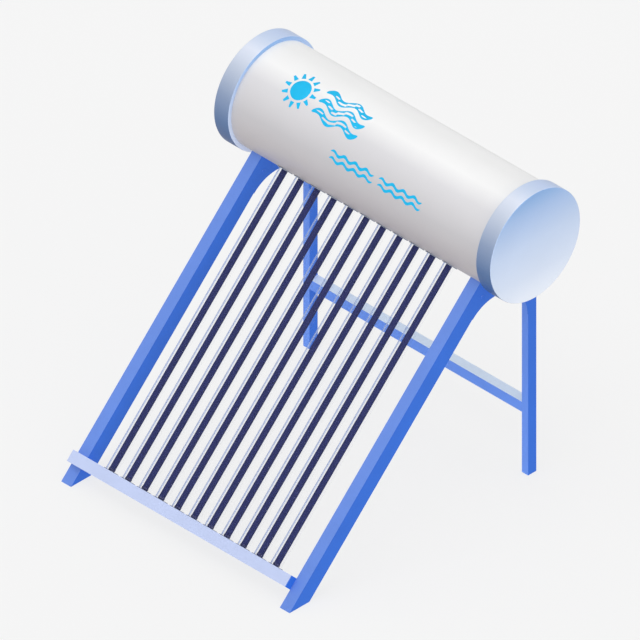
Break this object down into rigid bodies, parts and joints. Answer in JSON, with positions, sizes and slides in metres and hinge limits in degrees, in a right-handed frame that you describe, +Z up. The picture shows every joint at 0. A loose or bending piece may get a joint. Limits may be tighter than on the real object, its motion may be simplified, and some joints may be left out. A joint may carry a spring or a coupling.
{
  "type": "solar water heater",
  "caption": "Thermosiphon solar water heater: row of evacuated glass tubes on a sloping steel stand, plugged into an insulated horizontal tank with flat end caps.",
  "frame": {"origin": "on the ground, under the middle of the heater's bounding box", "axes": "+X along the tank, +Y towards the back, +Z up"},
  "size_m": [1.413, 1.3948, 1.3515],
  "materials": {
    "frame_blue": "satin",
    "rail_blue": "satin",
    "zinc": "zinc plated",
    "black_rubber": "matte",
    "clear_glass": "gloss",
    "absorber_coating": "satin",
    "cap_blue": "satin",
    "shell_white": "gloss",
    "foam": "matte",
    "stainless": "brushed",
    "silicone": "matte",
    "dust_rubber": "matte",
    "cup_plastic": "matte",
    "valve_brass": "satin",
    "chrome": "polished",
    "handle_paint": "satin"
  },
  "bodies": {
    "heater": {"air_vent": "stainless", "cold_inlet": "stainless", "crossbar_cleats": "frame_blue", "drain_pipe": "stainless", "drain_valve_body": "valve_brass", "dust_rings": "dust_rubber", "end_cap_left": "cap_blue", "end_cap_right": "cap_blue", "foot_plate_front_left": "zinc", "foot_plate_front_right": "zinc", "foot_plate_rear_left": "zinc", "foot_plate_rear_right": "zinc", "frame_bolts": "zinc", "frame_nuts": "zinc", "front_leg_left": "frame_blue", "front_leg_right": "frame_blue", "hot_outlet": "stainless", "inner_tank": "stainless", "insulation": "foam", "outer_shell": "shell_white", "rail_bracket_left": "frame_blue", "rail_bracket_right": "frame_blue", "rear_crossbar": "rail_blue", "rear_leg_left": "frame_blue", "rear_leg_right": "frame_blue", "saddle_left": "frame_blue", "saddle_pad_left": "black_rubber", "saddle_pad_right": "black_rubber", "saddle_right": "frame_blue", "tail_cups": "cup_plastic", "tail_rail": "rail_blue", "tank_studs": "zinc", "tube_seals": "silicone", "vent_cap": "valve_brass"},
    "tube_01": {"glass_tube_01": "clear_glass", "absorber_tube_01": "absorber_coating"},
    "tube_02": {"glass_tube_02": "clear_glass", "absorber_tube_02": "absorber_coating"},
    "tube_03": {"glass_tube_03": "clear_glass", "absorber_tube_03": "absorber_coating"},
    "tube_04": {"glass_tube_04": "clear_glass", "absorber_tube_04": "absorber_coating"},
    "tube_05": {"glass_tube_05": "clear_glass", "absorber_tube_05": "absorber_coating"},
    "tube_06": {"glass_tube_06": "clear_glass", "absorber_tube_06": "absorber_coating"},
    "tube_07": {"glass_tube_07": "clear_glass", "absorber_tube_07": "absorber_coating"},
    "tube_08": {"glass_tube_08": "clear_glass", "absorber_tube_08": "absorber_coating"},
    "tube_09": {"glass_tube_09": "clear_glass", "absorber_tube_09": "absorber_coating"},
    "tube_10": {"glass_tube_10": "clear_glass", "absorber_tube_10": "absorber_coating"},
    "tube_11": {"glass_tube_11": "clear_glass", "absorber_tube_11": "absorber_coating"},
    "drain_handle": {"drain_valve_ball": "chrome", "drain_valve_handle": "handle_paint", "drain_valve_nut": "zinc", "drain_valve_stem": "chrome"}
  },
  "joints": [
    {"name": "tube_01_lift", "type": "slide", "parent": "heater", "child": "tube_01", "axis": [0, 0.7071, 0.7071], "range_m": [0, 0.035]},
    {"name": "tube_02_lift", "type": "slide", "parent": "heater", "child": "tube_02", "axis": [0, 0.7071, 0.7071], "range_m": [0, 0.035]},
    {"name": "tube_03_lift", "type": "slide", "parent": "heater", "child": "tube_03", "axis": [0, 0.7071, 0.7071], "range_m": [0, 0.035]},
    {"name": "tube_04_lift", "type": "slide", "parent": "heater", "child": "tube_04", "axis": [0, 0.7071, 0.7071], "range_m": [0, 0.035]},
    {"name": "tube_05_lift", "type": "slide", "parent": "heater", "child": "tube_05", "axis": [0, 0.7071, 0.7071], "range_m": [0, 0.035]},
    {"name": "tube_06_lift", "type": "slide", "parent": "heater", "child": "tube_06", "axis": [0, 0.7071, 0.7071], "range_m": [0, 0.035]},
    {"name": "tube_07_lift", "type": "slide", "parent": "heater", "child": "tube_07", "axis": [0, 0.7071, 0.7071], "range_m": [0, 0.035]},
    {"name": "tube_08_lift", "type": "slide", "parent": "heater", "child": "tube_08", "axis": [0, 0.7071, 0.7071], "range_m": [0, 0.035]},
    {"name": "tube_09_lift", "type": "slide", "parent": "heater", "child": "tube_09", "axis": [0, 0.7071, 0.7071], "range_m": [0, 0.035]},
    {"name": "tube_10_lift", "type": "slide", "parent": "heater", "child": "tube_10", "axis": [0, 0.7071, 0.7071], "range_m": [0, 0.035]},
    {"name": "tube_11_lift", "type": "slide", "parent": "heater", "child": "tube_11", "axis": [0, 0.7071, 0.7071], "range_m": [0, 0.035]},
    {"name": "drain_valve_turn", "type": "hinge", "parent": "heater", "child": "drain_handle", "pos_m": [0.25, 0.49539, 0.86747], "axis": [0, 1, 0], "range_deg": [0, 90]}
  ]
}
